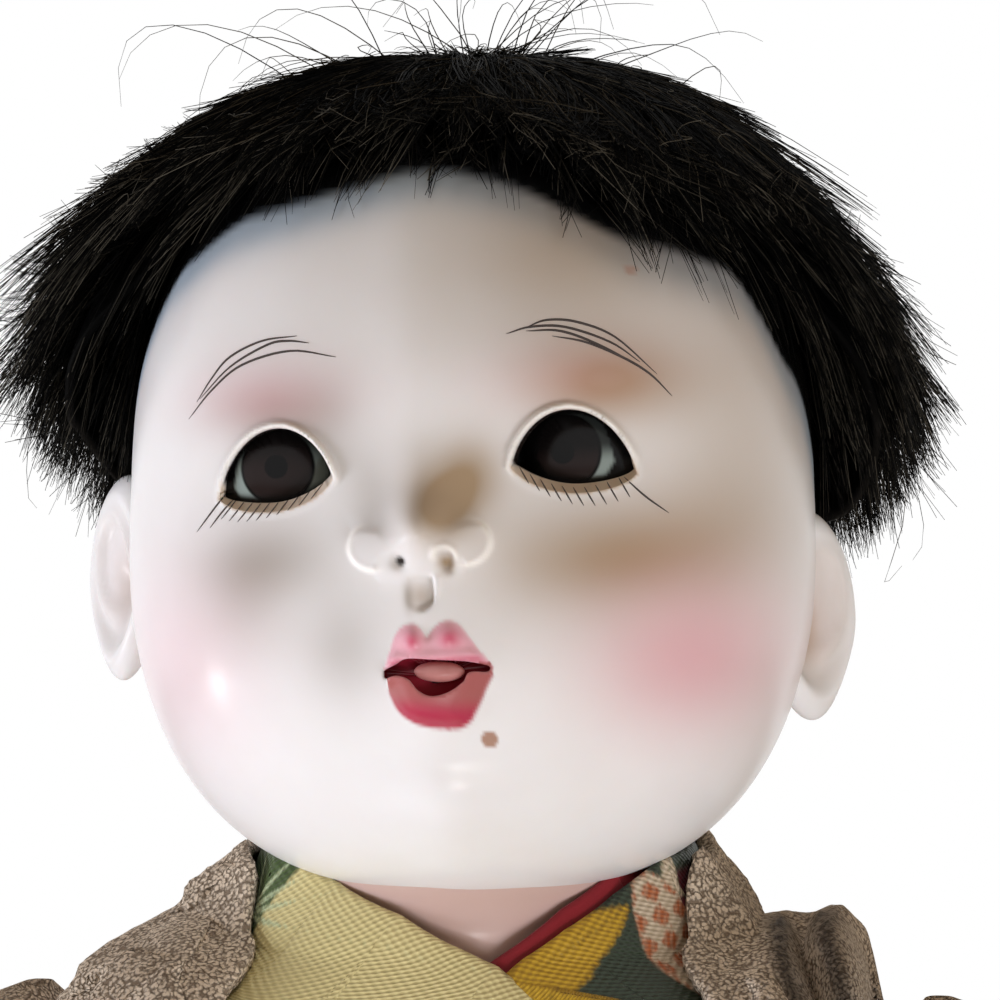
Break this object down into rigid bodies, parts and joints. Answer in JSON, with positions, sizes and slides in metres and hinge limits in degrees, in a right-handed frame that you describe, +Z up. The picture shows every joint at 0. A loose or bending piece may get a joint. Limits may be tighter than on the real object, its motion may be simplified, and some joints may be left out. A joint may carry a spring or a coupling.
{
  "type": "ichimatsu doll",
  "caption": "Standing ichimatsu doll of a small boy with a shell-white head, glass eyes, short black hair, kimono, sash and crepe haori; the head turns and the arms and legs swing.",
  "frame": {"origin": "on the surface that the doll stands on, under the middle of its bounding box", "axes": "+Z up through the head; the doll faces -Y; +X is the doll's left hand"},
  "size_m": [0.1462, 0.0938, 0.3894],
  "materials": {
    "gofun": "polished shell-white coat over moulded wood composition",
    "tongue": "painted pink, satin",
    "eye_glass": "clear blown glass",
    "eye_core": "near-black enamel backing",
    "hair": "coarse black hair, low sheen",
    "peg_wood": "bare turned wood",
    "composition": "bare wood composition",
    "leather": "undyed leather",
    "muslin": "plain cotton",
    "kimono_print": "coarse printed silk, gold and dark green leaves",
    "red_silk": "plain crimson silk",
    "sash": "stiff dark woven silk",
    "haori_crepe": "matte taupe crepe"
  },
  "bodies": {
    "torso": {"chest": "composition", "neck_washer": "leather", "hips": "composition", "waist_cloth": "muslin", "waist_stuffing": "muslin", "kimono_robe": "kimono_print", "kimono_collar": "kimono_print", "under_collar": "red_silk", "obi": "sash", "obi_knot": "sash", "haori_body": "haori_crepe", "haori_collar": "haori_crepe"},
    "head": {"face_half": "gofun", "skull_half": "gofun", "tongue": "tongue", "right_eye_glass": "eye_glass", "left_eye_glass": "eye_glass", "right_eye_core": "eye_core", "left_eye_core": "eye_core", "hair_fringe": "hair", "hair_right": "hair", "hair_left": "hair", "hair_back": "hair", "hair_crown": "hair", "neck_peg": "peg_wood"},
    "right_arm": {"right_upper_arm": "muslin", "right_forearm": "gofun", "right_haori_sleeve": "haori_crepe", "right_kimono_sleeve": "kimono_print"},
    "left_arm": {"left_upper_arm": "muslin", "left_forearm": "gofun", "left_haori_sleeve": "haori_crepe", "left_kimono_sleeve": "kimono_print"},
    "right_leg": {"right_thigh": "muslin", "right_shin": "gofun"},
    "left_leg": {"left_thigh": "muslin", "left_shin": "gofun"}
  },
  "joints": [
    {"name": "head_turn", "type": "hinge", "parent": "torso", "child": "head", "pos_m": [0, -0.00205, 0.29], "axis": [0, 0, 1], "range_deg": [-60, 60]},
    {"name": "right_shoulder", "type": "hinge", "parent": "torso", "child": "right_arm", "pos_m": [-0.04, -0.00205, 0.276], "axis": [-1, 0, 0], "range_deg": [-15, 50]},
    {"name": "left_shoulder", "type": "hinge", "parent": "torso", "child": "left_arm", "pos_m": [0.04, -0.00205, 0.276], "axis": [-1, 0, 0], "range_deg": [-15, 50]},
    {"name": "right_hip", "type": "hinge", "parent": "torso", "child": "right_leg", "pos_m": [-0.016, -0.00205, 0.15], "axis": [-1, 0, 0], "range_deg": [-8, 10]},
    {"name": "left_hip", "type": "hinge", "parent": "torso", "child": "left_leg", "pos_m": [0.016, -0.00205, 0.15], "axis": [-1, 0, 0], "range_deg": [-8, 10]}
  ]
}
